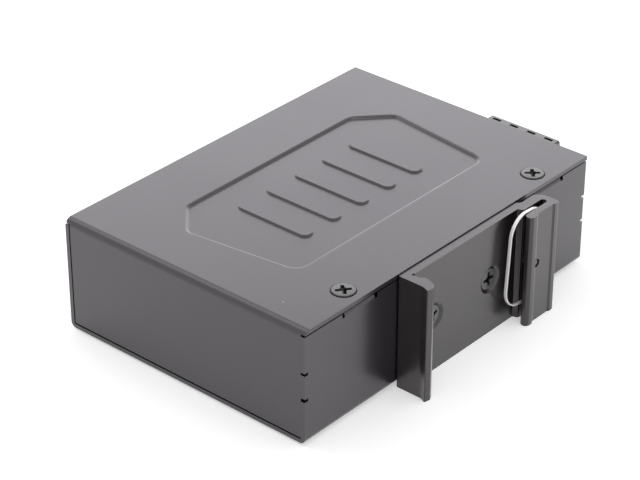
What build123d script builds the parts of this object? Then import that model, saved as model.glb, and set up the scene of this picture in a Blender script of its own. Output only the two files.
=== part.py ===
from build123d import *

import os
from math import radians, sin

# Unmanaged network switch with five sockets in a folded steel box that clips
# onto a 35 mm mounting rail.
#
# Frame, in millimetres: the switch lies on its large plain side, as on a bench.
# +X runs across the rail, from the closed end to the terminal end (up, when mounted).
# +Y runs from the rail to the socket face. +Z points out of the pressed cover.
# The origin is the centre of the rail seat: the rail's centre line in X, the seat
# face in Y and the middle of the clip's length in Z.

os.makedirs("parts", exist_ok=True)

# Mounting rail that the clip fits
rail_width = 35.0
rail_hat_width = 27.0
rail_flange = 1.0
rail_play = 1.55

# Folded box
sheet = 1.0
bend_radius = 1.4
cover_bend_radius = 1.7
base_length = 97.8
box_depth = 69.3
base_height = 26.4
box_drop = 0.2
rail_from_closed_end = 49.45
cover_gap = 0.3
cover_overhang = 0.2
flange_gap = 0.25
flange_side_gap = 0.15
flange_inset = 0.15
corner_relief = 1.6

# Locating ears, where an end plate reaches through the edges of its neighbours
ear_height = 5.7
ear_above_bottom = 11.25
ear_slack = 0.7

# Pressed panel in the cover
panel_depth = 0.6
panel_slope = 40.0
panel_offset = 0.2
panel_front_half = 27.8
panel_wide_half = 35.65
panel_rear_half = 32.15
panel_edge_half = 30.6
panel_front_y = 53.2
panel_shoulder_y = 45.8
panel_waist_y = 18.6
panel_rear_y = 17.0
bead_count = 5
bead_width = 4.0
bead_length = 21.0
bead_pitch = 9.4
bead_rise = 0.45

# Countersunk M3 screws, with pressed-in nuts behind them
screw_shank = 3.0
screw_head = 5.4
screw_lip = 0.2
screw_length = 6.0
cross_length = 3.4
cross_width = 0.8
cross_depth = 1.0
cover_screw_turns = (52.0, 42.0)
clip_screw_turns = (20.0, 2.0)
thread_gap = 0.05
nut_width = 5.5
nut_height = 2.0
hole_clearance = 0.4

# Cover screws and the tabs that they bite into
cover_screw_spacing = 65.7
cover_screw_offset = 0.8
cover_screw_from_rear = 4.5
cover_screw_proud = 0.25
cover_sink = 5.8
tab_width = 9.6
tab_reach = 8.5
tab_bend = 1.0
tab_relief = 0.8
tab_relief_depth = 1.05

# Rail clip, an aluminium extrusion
clip_length = 28.0
clip_web = 2.2
clip_screw_spacing = 20.0
clip_sink = 6.7
hook_thickness = 2.26
hook_height = 6.57
hook_bend_drop = 2.9
lip_overhang = 0.8
lip_clearance = 0.76
corner_groove = 0.4
slot_height = 1.54
slot_from_seat = 1.37
slot_end_wall = 1.6
jaw_overhang = 1.47
jaw_thickness = 1.7
jaw_bead = 0.49
jaw_bead_width = 2.9
jaw_strip = 2.1
jaw_step = 0.3
jaw_step_run = 0.5
block_reach = 8.95
block_back_gap = 1.12
block_back_run = 2.9

# Spring ring, bent from flat strip
ring_strip = 1.0
ring_stock = 0.35
ring_length = 23.4
ring_corner = 5.2
ring_tilt = 4.0
ring_centre_z = 2.4
ring_slot_gap = 0.2
pin_diameter = 2.0
pin_recess = 0.25
pin_depth = 0.8
pin_from_tip = 3.3
pin_z = 1.1

# Circuit board and its standoffs
board_thickness = 1.6
board_rise = 5.0
board_side_gap = 1.2
board_rear_gap = 2.0
board_front_gap = 1.0
standoff_diameter = 5.0
standoff_inset_x = 2.6
standoff_rear_inset = 2.6
standoff_front_inset = 7.0
board_screw_head = 4.6
board_screw_head_height = 1.8
board_screw_length = 5.0

# Network sockets
socket_count = 5
socket_pitch = 16.3
socket_width = 16.0
socket_height = 13.5
socket_length = 21.0
socket_proud = 0.4
shield_wall = 0.25
shield_gap = 0.05
mouth_width = 11.9
mouth_height = 6.9
mouth_floor = 2.6
mouth_depth = 14.0
key_wide = 6.4
key_narrow = 3.6
key_step = 1.3
window_gap = 0.25
contact_count = 8
contact_pitch = 1.02
contact_width = 0.45
contact_stock = 0.3
contact_rise = 2.4
contact_from_mouth = 2.6
contact_run = 8.5

# Light pipe and the lamps under it
pipe_diameter = 2.0
pipe_gap = 0.1
pipe_rise = 1.5
pipe_drop_gap = 0.3
pipe_bar = 3.0
lamp_length = 1.6
lamp_width = 1.2
lamp_height = 0.8
power_lamp_offset = 11.6

# Supply terminal: header on the board and the plug in it
pole_count = 4
pole_pitch = 5.08
header_place = 0.72
plug_out = 10.5
plug_top = 22.1
plug_bottom = 8.0
plug_window_gap = 0.35
nose_height = 6.6
nose_length = 8.0
nose_side = 0.6
header_wall = 0.9
header_back = 1.6
header_fit = 0.15
header_plate_gap = 0.3
pin_square = 1.0
pin_hole_gap = 0.15
pin_tail = 1.2
wire_entry_width = 3.6
wire_entry_height = 4.4
wire_entry_floor = 1.6
wire_entry_depth = 9.0
clamp_wall = 0.5
clamp_gap = 0.1
plug_screw_head = 3.6
plug_screw_height = 2.6
plug_screw_from_end = 5.6
plug_screw_sunk = 1.2
plug_screw_slot = 0.6
test_slot_length = 2.3
test_slot_width = 0.8
test_slot_depth = 2.0
test_slot_from_end = 1.1

# Parts on the board
chip_side = 14.0
chip_height = 1.4
magnetics_length = 12.7
magnetics_width = 7.1
magnetics_height = 5.9
magnetics_from_socket = 3.5
crystal_length = 11.4
crystal_width = 4.7
crystal_height = 3.5
inductor_side = 7.3
inductor_height = 4.5
capacitor_diameter = 8.0
supply_clearance = 7.15
capacitor_height = 12.0
diode_length = 7.0
diode_width = 6.0
diode_height = 2.4
fuse_length = 7.4
fuse_width = 5.2
fuse_height = 2.8
regulator_length = 5.0
regulator_width = 4.0
regulator_height = 1.6

# Main places that follow from the sizes above
low_x = -rail_from_closed_end
high_x = low_x + base_length
rear_y = clip_web
front_y = rear_y + box_depth
mid_y = rear_y + box_depth / 2
mid_z = -box_drop
bottom_z = mid_z - base_height / 2
floor_z = bottom_z + sheet
rim_z = mid_z + base_height / 2
cover_under_z = rim_z + cover_gap
cover_top_z = cover_under_z + sheet
cover_low_x = low_x + flange_inset
cover_high_x = high_x + cover_overhang
end_face_x = high_x - flange_inset
flange_width = box_depth - 2 * (sheet + flange_side_gap)
ear_reach = sheet + flange_side_gap
ear_z = bottom_z + ear_above_bottom + ear_height / 2
cover_screw_x = [cover_screw_offset + side * cover_screw_spacing / 2 for side in (-1, 1)]
cover_screw_y = rear_y + cover_screw_from_rear
clip_screw_x = [side * clip_screw_spacing / 2 for side in (-1, 1)]
board_under_z = floor_z + board_rise
board_top_z = board_under_z + board_thickness
board_low_x = cover_low_x + sheet + board_side_gap
board_high_x = end_face_x - sheet - board_side_gap
board_low_y = rear_y + sheet + board_rear_gap
board_high_y = front_y - sheet - board_front_gap
standoff_places = [
    (x, y)
    for x in (board_low_x + standoff_inset_x, board_high_x - standoff_inset_x)
    for y in (board_low_y + standoff_rear_inset, board_high_y - standoff_front_inset)
]
socket_mid_x = (low_x + high_x) / 2
socket_x = [
    socket_mid_x + (place - (socket_count - 1) / 2) * socket_pitch
    for place in range(socket_count)
]
socket_face_y = front_y + socket_proud
socket_back_y = socket_face_y - socket_length
socket_mid_z = board_top_z + socket_height / 2
mouth_floor_z = board_top_z + mouth_floor
pipe_z = board_top_z + socket_height + pipe_rise + pipe_diameter / 2
pipe_drop_y = socket_back_y - pipe_diameter
pipe_x = socket_x + [socket_x[-1] + power_lamp_offset]
magnetics_low_y = socket_back_y - magnetics_from_socket - magnetics_width
terminal_width = pole_count * pole_pitch
nose_width = terminal_width - 2 * nose_side
header_width = nose_width + 2 * (header_fit + header_wall)
header_room_low = board_low_y + standoff_rear_inset + board_screw_head / 2
header_spare = magnetics_low_y - header_room_low - header_width
terminal_y = header_room_low + header_width / 2 + header_place * header_spare
pole_y = [
    terminal_y + (place - (pole_count - 1) / 2) * pole_pitch
    for place in range(pole_count)
]
plug_end_x = cover_high_x + plug_out
plug_low_z = bottom_z + plug_bottom
plug_high_z = bottom_z + plug_top
header_face_x = end_face_x - sheet - header_plate_gap
nose_low_z = board_top_z + header_wall + header_fit
nose_mid_z = nose_low_z + nose_height / 2
nose_tip_x = header_face_x - nose_length
header_back_x = nose_tip_x - header_fit - header_back
hole_radius = (screw_shank + hole_clearance) / 2

# Base: floor, rear plate, socket plate and terminal end plate, folded from one sheet
with BuildPart() as base_shell:
    with BuildSketch(Plane.YZ.offset(low_x)) as channel_outside:
        with Locations((mid_y, mid_z)):
            Rectangle(box_depth, base_height)
        fillet(channel_outside.vertices().group_by(Axis.Y)[0], radius=bend_radius)
    extrude(amount=base_length)
    with BuildSketch(Plane.YZ.offset(low_x)) as channel_inside:
        with Locations((mid_y, mid_z + sheet)):
            Rectangle(box_depth - 2 * sheet, base_height)
        fillet(channel_inside.vertices().group_by(Axis.Y)[0], radius=bend_radius - sheet)
    extrude(amount=base_length, mode=Mode.SUBTRACT)

    # The end plate stands between the two side plates, a little inside their edges
    with BuildSketch(Plane.XY.offset(bottom_z)):
        with Locations((high_x, mid_y)):
            Rectangle(2 * flange_inset, flange_width)
    extrude(amount=sheet, mode=Mode.SUBTRACT)
    with BuildSketch(Plane.YZ.offset(end_face_x)):
        with Locations((mid_y, mid_z)):
            Rectangle(flange_width, base_height)
    extrude(amount=-sheet)

    # Corner reliefs let the end plate fold up past the side plates
    with BuildSketch(Plane.XY.offset(bottom_z)):
        for side in (-1, 1):
            with Locations((high_x, mid_y + side * (box_depth / 2 - sheet - corner_relief / 2))):
                Rectangle(2 * (sheet + bend_radius), corner_relief)
    extrude(amount=sheet + bend_radius, mode=Mode.SUBTRACT)
    outer_fold = base_shell.edges().filter_by(Axis.Y).filter_by(
        lambda edge: abs(edge.center().X - end_face_x) < 0.01
        and abs(edge.center().Z - bottom_z) < 0.01
    )
    fillet(outer_fold, radius=bend_radius)
    inner_fold = base_shell.edges().filter_by(Axis.Y).filter_by(
        lambda edge: abs(edge.center().X - end_face_x + sheet) < 0.01
        and abs(edge.center().Z - floor_z) < 0.01
    )
    fillet(inner_fold, radius=bend_radius - sheet)

    # Notches for the locating ears, through the rear plate at both ends
    with BuildSketch(Plane.XZ.offset(-rear_y)):
        for end_x in (low_x, high_x):
            with Locations((end_x, ear_z)):
                Rectangle(2 * (flange_inset + sheet), ear_height + 2 * ear_slack)
    extrude(amount=-sheet, mode=Mode.SUBTRACT)
    with BuildSketch(Plane.YZ.offset(end_face_x)):
        with Locations((rear_y + ear_reach / 2, ear_z)):
            Rectangle(ear_reach, ear_height)
    extrude(amount=-sheet)

    # Tabs folded in from the top of the rear plate carry the cover screws
    with BuildSketch(Plane.XZ.offset(-rear_y)):
        for screw_x in cover_screw_x:
            for side in (-1, 1):
                with Locations((screw_x + side * (tab_width + tab_relief) / 2, rim_z)):
                    Rectangle(tab_relief, 2 * tab_relief_depth)
    extrude(amount=-sheet, mode=Mode.SUBTRACT)
    with BuildSketch(Plane.XY.offset(rim_z)):
        for screw_x in cover_screw_x:
            with Locations((screw_x, rear_y + tab_reach / 2)):
                Rectangle(tab_width, tab_reach)
    extrude(amount=-sheet)
    tab_folds = base_shell.edges().filter_by(Axis.X).filter_by(
        lambda edge: abs(edge.center().Y - rear_y) < 0.01
        and abs(edge.center().Z - rim_z) < 0.01
        and abs(edge.length - tab_width) < 0.01
    )
    fillet(tab_folds, radius=tab_bend)
    with Locations(*[(screw_x, cover_screw_y, rim_z) for screw_x in cover_screw_x]):
        Hole(radius=hole_radius, depth=sheet)

    # Clip screw holes, sockets, lamp holes and terminal window
    with BuildSketch(Plane.XZ.offset(-rear_y)):
        with Locations(*[(screw_x, 0) for screw_x in clip_screw_x]):
            Circle(hole_radius)
    extrude(amount=-sheet, mode=Mode.SUBTRACT)
    with BuildSketch(Plane.XZ.offset(-front_y)):
        with Locations(*[(x, socket_mid_z) for x in socket_x]):
            Rectangle(socket_width + window_gap, socket_height + 2 * window_gap)
        with Locations(*[(x, pipe_z) for x in pipe_x]):
            Circle(pipe_diameter / 2 + pipe_gap)
    extrude(amount=sheet, mode=Mode.SUBTRACT)
    with BuildSketch(Plane.YZ.offset(end_face_x)):
        with Locations((terminal_y, (plug_low_z + plug_high_z) / 2)):
            Rectangle(
                terminal_width + 2 * plug_window_gap,
                plug_high_z - plug_low_z + 2 * plug_window_gap,
            )
    extrude(amount=-sheet, mode=Mode.SUBTRACT)
base_shell.part.label = "base_shell"
export_step(base_shell.part, "parts/base_shell.step")

# Cover: the large pressed plate with one end folded down over the closed end
panel_mid_x = (cover_low_x + cover_high_x) / 2 + panel_offset
panel_corners = [
    (panel_mid_x - panel_front_half, rear_y + panel_front_y),
    (panel_mid_x + panel_front_half, rear_y + panel_front_y),
    (panel_mid_x + panel_wide_half, rear_y + panel_shoulder_y),
    (panel_mid_x + panel_rear_half, rear_y + panel_waist_y),
    (panel_mid_x + panel_edge_half, rear_y + panel_rear_y),
    (panel_mid_x - panel_edge_half, rear_y + panel_rear_y),
    (panel_mid_x - panel_rear_half, rear_y + panel_waist_y),
    (panel_mid_x - panel_wide_half, rear_y + panel_shoulder_y),
]
panel_middle_y = rear_y + (panel_front_y + panel_rear_y) / 2
with BuildPart() as cover:
    with BuildSketch(Plane.XZ.offset(-mid_y)) as fold_outside:
        with Locations((cover_low_x, cover_top_z)):
            Rectangle(
                cover_high_x - cover_low_x,
                cover_top_z - floor_z - flange_gap,
                align=(Align.MIN, Align.MAX),
            )
        fillet(fold_outside.vertices().group_by(Axis.X)[0].sort_by(Axis.Y)[-1], cover_bend_radius)
    extrude(amount=flange_width / 2, both=True)
    with BuildSketch(Plane.XZ.offset(-mid_y)) as fold_inside:
        with Locations((cover_low_x + sheet, cover_under_z)):
            Rectangle(
                cover_high_x - cover_low_x,
                cover_top_z - floor_z,
                align=(Align.MIN, Align.MAX),
            )
        fillet(
            fold_inside.vertices().group_by(Axis.X)[0].sort_by(Axis.Y)[-1],
            cover_bend_radius - sheet,
        )
    extrude(amount=flange_width / 2, both=True, mode=Mode.SUBTRACT)

    # The plate and the upper part of its bend run on over the edges of the two side plates
    with BuildSketch(Plane.XZ.offset(-mid_y)) as plate_section:
        with Locations((cover_low_x, cover_top_z)):
            Rectangle(
                cover_high_x - cover_low_x,
                2 * cover_bend_radius,
                align=(Align.MIN, Align.MAX),
            )
        fillet(plate_section.vertices().group_by(Axis.X)[0].sort_by(Axis.Y)[-1], cover_bend_radius)
        with Locations((cover_low_x, cover_under_z)):
            Rectangle(
                cover_high_x - cover_low_x,
                2 * cover_bend_radius,
                align=(Align.MIN, Align.MAX),
                mode=Mode.SUBTRACT,
            )
    extrude(amount=box_depth / 2, both=True)

    # Ear of the end flange, in the notch of the rear plate
    with BuildSketch(Plane.YZ.offset(cover_low_x)):
        with Locations((rear_y + ear_reach / 2, ear_z)):
            Rectangle(ear_reach, ear_height)
    extrude(amount=sheet)

    # Pressed panel, sunk from above and standing out below by the same depth
    with BuildSketch(Plane.XY.offset(cover_under_z)):
        with BuildLine():
            Polyline(*panel_corners, close=True)
        make_face()
    extrude(amount=-panel_depth, taper=panel_slope)
    with BuildSketch(Plane.XY.offset(cover_top_z)):
        with BuildLine():
            Polyline(*panel_corners, close=True)
        make_face()
    extrude(amount=-panel_depth, taper=panel_slope, mode=Mode.SUBTRACT)

    # Stiffening beads stand back up from the panel's floor
    with BuildSketch(Plane.XY.offset(cover_top_z - panel_depth)):
        with Locations((panel_mid_x, panel_middle_y)):
            with GridLocations(bead_pitch, 0, bead_count, 1):
                SlotOverall(bead_length, bead_width, rotation=90)
    extrude(amount=bead_rise, taper=panel_slope)
    with BuildSketch(Plane.XY.offset(cover_under_z - panel_depth)):
        with Locations((panel_mid_x, panel_middle_y)):
            with GridLocations(bead_pitch, 0, bead_count, 1):
                SlotOverall(bead_length, bead_width, rotation=90)
    extrude(amount=bead_rise, taper=panel_slope, mode=Mode.SUBTRACT)

    with Locations(*[(screw_x, cover_screw_y, cover_top_z) for screw_x in cover_screw_x]):
        CounterSinkHole(
            radius=hole_radius,
            counter_sink_radius=cover_sink / 2,
            depth=sheet,
            counter_sink_angle=90,
        )
cover.part.label = "cover"
export_step(cover.part, "parts/cover.step")

# Rail clip, extruded: a web on the rear plate, a fixed hook, and a jaw around a slot
hook_wall_x = -rail_width / 2
hook_outer_x = hook_wall_x - hook_thickness
lip_x = hook_wall_x + lip_overhang
lip_under_y = -(rail_flange + lip_clearance)
seat_end_x = rail_width / 2 + rail_play
slot_mid_y = -slot_from_seat - slot_height / 2
slot_front_y = -slot_from_seat - slot_height
jaw_tip_x = seat_end_x - jaw_overhang
jaw_face_y = slot_front_y - jaw_thickness
jaw_bead_y = jaw_face_y - jaw_bead
block_end_x = seat_end_x + block_reach
block_back_y = clip_web - block_back_gap
slot_end_x = block_end_x - slot_end_wall
clip_outline = [
    (hook_outer_x, clip_web, 0.5),
    (hook_outer_x, lip_under_y - hook_bend_drop, 3.0),
    (hook_outer_x - 0.7, -hook_height + 0.3, 0.25),
    (hook_outer_x + 0.85, -hook_height, 0.3),
    (hook_outer_x + 1.9, -hook_height + 0.5, 0.5),
    (lip_x - 0.55, -hook_height + 1.6, 1.0),
    (lip_x, lip_under_y - 1.7, 0.8),
    (lip_x, lip_under_y - 0.6, 0.3),
    (hook_wall_x + 0.1, lip_under_y, 0.2),
    (hook_wall_x, 0, 0.1),
    (seat_end_x, 0, 0.2),
    (seat_end_x + 0.45, -slot_from_seat + 0.2, 0.2),
    (seat_end_x + 0.9, -slot_from_seat, 0.1),
    (seat_end_x - 0.4, slot_front_y, 0.1),
    (jaw_tip_x + 0.4, slot_front_y - 0.15, 0.3),
    (jaw_tip_x, slot_front_y - 0.7, 0.4),
    (jaw_tip_x, jaw_face_y, 0.5),
    (jaw_tip_x + 0.75, jaw_bead_y, 0.4),
    (jaw_tip_x + 2.0, jaw_bead_y, 0.5),
    (jaw_tip_x + jaw_bead_width, jaw_face_y, 0.5),
    (block_end_x - jaw_strip, jaw_face_y, 0.5),
    (block_end_x - jaw_strip + jaw_step_run, jaw_face_y - jaw_step, 0.3),
    (block_end_x, jaw_face_y - jaw_step, 0.6),
    (block_end_x, block_back_y - 1.7, 0.5),
    (block_end_x - 1.3, block_back_y, 0.5),
    (seat_end_x + block_back_run, block_back_y, 0.5),
    (seat_end_x + 1.5, clip_web, 0.2),
]
with BuildPart() as din_clip:
    with BuildSketch(Plane.XY.offset(-clip_length / 2)):
        with BuildLine():
            FilletPolyline(
                *[(x, y) for x, y, radius in clip_outline],
                radius=[radius for x, y, radius in clip_outline],
                close=True,
            )
        make_face()
        with Locations((slot_end_x - slot_height / 2, slot_mid_y)):
            Circle(slot_height / 2, mode=Mode.SUBTRACT)
            Rectangle(
                block_reach,
                slot_height,
                align=(Align.MAX, Align.CENTER),
                mode=Mode.SUBTRACT,
            )
        with Locations((hook_wall_x + corner_groove / 2, 0)):
            Circle(corner_groove, mode=Mode.SUBTRACT)
    extrude(amount=clip_length)
    with Locations(*[Plane((x, 0, 0), z_dir=(0, -1, 0)) for x in clip_screw_x]):
        CounterSinkHole(
            radius=hole_radius,
            counter_sink_radius=clip_sink / 2,
            depth=clip_web,
            counter_sink_angle=90,
        )
    with Locations(Plane((jaw_tip_x + pin_from_tip, jaw_face_y, pin_z), z_dir=(0, -1, 0))):
        Hole(
            radius=pin_diameter / 2,
            depth=jaw_thickness + slot_height + pin_depth,
        )
din_clip.part.label = "din_clip"
export_step(din_clip.part, "parts/din_clip.step")

# Spring ring: a closed loop of flat strip in the slot, its free side across the channel
ring_high_x = slot_end_x - ring_slot_gap
ring_low_x = rail_hat_width / 2 - ring_stock / 2
ring_sway = (ring_length / 2 - ring_corner) * sin(radians(ring_tilt))
ring_width = ring_high_x - ring_low_x - ring_sway
with BuildPart() as rail_spring:
    with BuildSketch(Plane.XZ.offset(-slot_mid_y - ring_strip / 2)):
        with Locations((ring_low_x + ring_width / 2, ring_centre_z)):
            RectangleRounded(ring_width, ring_length, ring_corner, rotation=-ring_tilt)
            RectangleRounded(
                ring_width - 2 * ring_stock,
                ring_length - 2 * ring_stock,
                ring_corner - ring_stock,
                rotation=-ring_tilt,
                mode=Mode.SUBTRACT,
            )
    extrude(amount=ring_strip)
rail_spring.part.label = "rail_spring"
export_step(rail_spring.part, "parts/rail_spring.step")

# Pin through the jaw and the slot, inside the ring, so the ring can't leave
with BuildPart() as spring_pin:
    with BuildSketch(Plane.XZ.offset(-jaw_face_y - pin_recess)):
        with Locations((jaw_tip_x + pin_from_tip, pin_z)):
            Circle(pin_diameter / 2)
    extrude(amount=-(jaw_thickness + slot_height + pin_depth - pin_recess))
spring_pin.part.label = "spring_pin"
export_step(spring_pin.part, "parts/spring_pin.step")

# Countersunk screws, all of one kind: two hold the cover and two hold the clip
clip_screw_sunk = (clip_sink - screw_head) / 2 - screw_lip - thread_gap
head_cone = (screw_head - screw_shank) / 2
cover_screw_z = cover_top_z + cover_screw_proud
screw_seats = {
    "cover_screw_1": Plane((cover_screw_x[0], cover_screw_y, cover_screw_z)),
    "cover_screw_2": Plane((cover_screw_x[1], cover_screw_y, cover_screw_z)),
    "clip_screw_1": Plane((clip_screw_x[0], clip_screw_sunk, 0), (1, 0, 0), (0, -1, 0)),
    "clip_screw_2": Plane((clip_screw_x[1], clip_screw_sunk, 0), (1, 0, 0), (0, -1, 0)),
}
screw_turns = cover_screw_turns + clip_screw_turns
for (name, seat), turn in zip(screw_seats.items(), screw_turns):
    with BuildPart() as screw:
        with BuildSketch(seat):
            Circle(screw_head / 2)
        extrude(amount=-screw_lip)
        with BuildSketch(seat.offset(-screw_lip)):
            Circle(screw_head / 2)
        extrude(amount=-head_cone, taper=45)
        with BuildSketch(seat.offset(-screw_lip)):
            Circle(screw_shank / 2)
        extrude(amount=screw_lip - screw_length)
        with BuildSketch(seat):
            Rectangle(cross_length, cross_width, rotation=turn)
            Rectangle(cross_width, cross_length, rotation=turn)
            Circle(cross_width)
        extrude(amount=-cross_depth, taper=15, mode=Mode.SUBTRACT)
    screw.part.label = name
    export_step(screw.part, f"parts/{name}.step")

# Nuts pressed into the tabs and into the rear plate
nut_seats = {
    "cover_nut_1": Plane((cover_screw_x[0], cover_screw_y, rim_z - sheet)),
    "cover_nut_2": Plane((cover_screw_x[1], cover_screw_y, rim_z - sheet)),
    "clip_nut_1": Plane((clip_screw_x[0], rear_y + sheet, 0), (1, 0, 0), (0, -1, 0)),
    "clip_nut_2": Plane((clip_screw_x[1], rear_y + sheet, 0), (1, 0, 0), (0, -1, 0)),
}
for name, seat in nut_seats.items():
    with BuildPart() as nut:
        with BuildSketch(seat):
            RegularPolygon(nut_width / 2, 6, major_radius=False)
            Circle(screw_shank / 2 + thread_gap, mode=Mode.SUBTRACT)
        extrude(amount=-nut_height)
    nut.part.label = name
    export_step(nut.part, f"parts/{name}.step")

# Circuit board, on four standoffs that stand on the floor
pin_leg_x = header_back_x - pin_square
with BuildPart() as circuit_board:
    with BuildSketch(Plane.XY.offset(board_under_z)):
        with Locations(((board_low_x + board_high_x) / 2, (board_low_y + board_high_y) / 2)):
            Rectangle(board_high_x - board_low_x, board_high_y - board_low_y)
        with Locations(*standoff_places):
            Circle(hole_radius, mode=Mode.SUBTRACT)
        with Locations(*[(pin_leg_x, y) for y in pole_y]):
            Circle(0.75 * pin_square + pin_hole_gap, mode=Mode.SUBTRACT)
    extrude(amount=board_thickness)
circuit_board.part.label = "circuit_board"
export_step(circuit_board.part, "parts/circuit_board.step")

with BuildPart() as board_standoffs:
    with BuildSketch(Plane.XY.offset(floor_z)):
        with Locations(*standoff_places):
            Circle(standoff_diameter / 2)
            Circle(screw_shank / 2 + thread_gap, mode=Mode.SUBTRACT)
    extrude(amount=board_rise)
board_standoffs.part.label = "board_standoffs"
export_step(board_standoffs.part, "parts/board_standoffs.step")

with BuildPart() as board_screws:
    with BuildSketch(Plane.XY.offset(board_top_z)):
        with Locations(*standoff_places):
            Circle(board_screw_head / 2)
    extrude(amount=board_screw_head_height)
    fillet(board_screws.edges().group_by(Axis.Z)[-1], radius=board_screw_head_height / 3)
    with BuildSketch(Plane.XY.offset(board_top_z)):
        with Locations(*standoff_places):
            Circle(screw_shank / 2)
    extrude(amount=-board_screw_length)
    with BuildSketch(Plane.XY.offset(board_top_z + board_screw_head_height)):
        with Locations(*standoff_places):
            Rectangle(cross_length, cross_width)
            Rectangle(cross_width, cross_length)
    extrude(amount=-cross_depth, taper=10, mode=Mode.SUBTRACT)
board_screws.part.label = "board_screws"
export_step(board_screws.part, "parts/board_screws.step")

# Network sockets: a plastic body with a stepped mouth, in a shield, with eight contacts
with BuildSketch() as mouth:
    Rectangle(mouth_width, mouth_height, align=(Align.CENTER, Align.MIN))
    with Locations((0, mouth_height)):
        Rectangle(key_wide, key_step, align=(Align.CENTER, Align.MIN))
        Rectangle(key_narrow, 2 * key_step, align=(Align.CENTER, Align.MIN))

body_face_y = socket_face_y - shield_wall - shield_gap
body_width = socket_width - 2 * (shield_wall + shield_gap)
body_height = socket_height - shield_wall - shield_gap
body_length = socket_length - 2 * (shield_wall + shield_gap)
contact_front_y = body_face_y - contact_from_mouth
contact_back_y = contact_front_y - contact_run
contact_profile = [
    (contact_back_y, mouth_floor_z),
    (contact_front_y, mouth_floor_z),
    (contact_front_y, mouth_floor_z + contact_stock),
    (contact_back_y, mouth_floor_z + contact_rise),
    (contact_back_y, mouth_floor_z + contact_rise - 1.2 * contact_stock),
    (contact_front_y - 3 * contact_stock, mouth_floor_z + contact_stock),
    (contact_back_y, mouth_floor_z + contact_stock),
]
for place, x in enumerate(socket_x, start=1):
    with BuildPart() as jack_shield:
        with BuildSketch(Plane.XZ.offset(-socket_face_y)):
            with Locations((x, socket_mid_z)):
                Rectangle(socket_width, socket_height)
        extrude(amount=socket_length)
        with BuildSketch(Plane.XZ.offset(shield_wall - socket_face_y)):
            with Locations((x, board_top_z)):
                Rectangle(
                    socket_width - 2 * shield_wall,
                    2 * (socket_height - shield_wall),
                )
        extrude(amount=socket_length - 2 * shield_wall, mode=Mode.SUBTRACT)
        with BuildSketch(Plane((x, socket_face_y, mouth_floor_z), (1, 0, 0), (0, -1, 0))):
            add(mouth.sketch)
        extrude(amount=shield_wall, mode=Mode.SUBTRACT)
    jack_shield.part.label = f"jack_shield_{place}"
    export_step(jack_shield.part, f"parts/jack_shield_{place}.step")

    with BuildPart() as jack_body:
        with BuildSketch(Plane.XZ.offset(-body_face_y)):
            with Locations((x, board_top_z)):
                Rectangle(body_width, body_height, align=(Align.CENTER, Align.MIN))
        extrude(amount=body_length)
        with BuildSketch(Plane((x, body_face_y, mouth_floor_z), (1, 0, 0), (0, -1, 0))):
            add(mouth.sketch)
        extrude(amount=mouth_depth, mode=Mode.SUBTRACT)
    jack_body.part.label = f"jack_body_{place}"
    export_step(jack_body.part, f"parts/jack_body_{place}.step")

    with BuildPart() as jack_contacts:
        for contact in range(contact_count):
            contact_x = x + (contact - (contact_count - 1) / 2) * contact_pitch
            with BuildSketch(Plane.YZ.offset(contact_x - contact_width / 2)):
                with BuildLine():
                    Polyline(*contact_profile, close=True)
                make_face()
            extrude(amount=contact_width)
    jack_contacts.part.label = f"jack_contacts_{place}"
    export_step(jack_contacts.part, f"parts/jack_contacts_{place}.step")

# Light pipe: six rods over the sockets on one bar, each turned down to its lamp
with BuildPart() as light_pipe:
    with BuildSketch(Plane.XZ.offset(-front_y)):
        with Locations(*[(x, pipe_z) for x in pipe_x]):
            Circle(pipe_diameter / 2)
    extrude(amount=front_y - pipe_drop_y)
    with BuildSketch(Plane.XY.offset(pipe_z)):
        with Locations(*[(x, pipe_drop_y) for x in pipe_x]):
            Circle(pipe_diameter / 2)
    extrude(amount=board_top_z + lamp_height + pipe_drop_gap - pipe_z)
    with Locations(*[(x, pipe_drop_y, pipe_z) for x in pipe_x]):
        Sphere(pipe_diameter / 2)
    with BuildSketch(Plane.XY.offset(pipe_z)):
        with Locations(((pipe_x[0] + pipe_x[-1]) / 2, socket_back_y + pipe_bar)):
            Rectangle(pipe_x[-1] - pipe_x[0], pipe_bar)
    extrude(amount=board_top_z + socket_height - pipe_z)
light_pipe.part.label = "light_pipe"
export_step(light_pipe.part, "parts/light_pipe.step")

with BuildPart() as status_lamps:
    with BuildSketch(Plane.XY.offset(board_top_z)):
        with Locations(*[(x, pipe_drop_y) for x in pipe_x]):
            Rectangle(lamp_length, lamp_width)
    extrude(amount=lamp_height)
status_lamps.part.label = "status_lamps"
export_step(status_lamps.part, "parts/status_lamps.step")

# Moulded parts that stand on the board, placed from its rear corner at the closed end.
# The supply's two capacitors and its diode share one column up to the magnetics.
supply_column_x = (
    pin_leg_x - pin_square / 2 - supply_clearance - capacitor_diameter / 2 - board_low_x
)
supply_gap = (magnetics_low_y - board_low_y - 2 * capacitor_diameter - diode_width) / 4
supply_step = capacitor_diameter + supply_gap
capacitor_places = {
    "capacitor_1": (supply_column_x, supply_step - capacitor_diameter / 2),
    "capacitor_2": (supply_column_x, 2 * supply_step - capacitor_diameter / 2),
}
diode_place = (supply_column_x, 2 * supply_step + supply_gap + diode_width / 2)
block_places = {
    "switch_chip": ((41.6, 19.0), (chip_side, chip_side, chip_height)),
    "crystal": ((23.6, 19.0), (crystal_length, crystal_width, crystal_height)),
    "power_inductor": ((62.1, 11.0), (inductor_side, inductor_side, inductor_height)),
    "input_fuse": ((62.1, 23.0), (fuse_length, fuse_width, fuse_height)),
    "input_diode": (diode_place, (diode_length, diode_width, diode_height)),
    "voltage_regulator": ((51.6, 7.0), (regulator_length, regulator_width, regulator_height)),
}
magnetics_y = magnetics_low_y + magnetics_width / 2 - board_low_y
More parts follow.
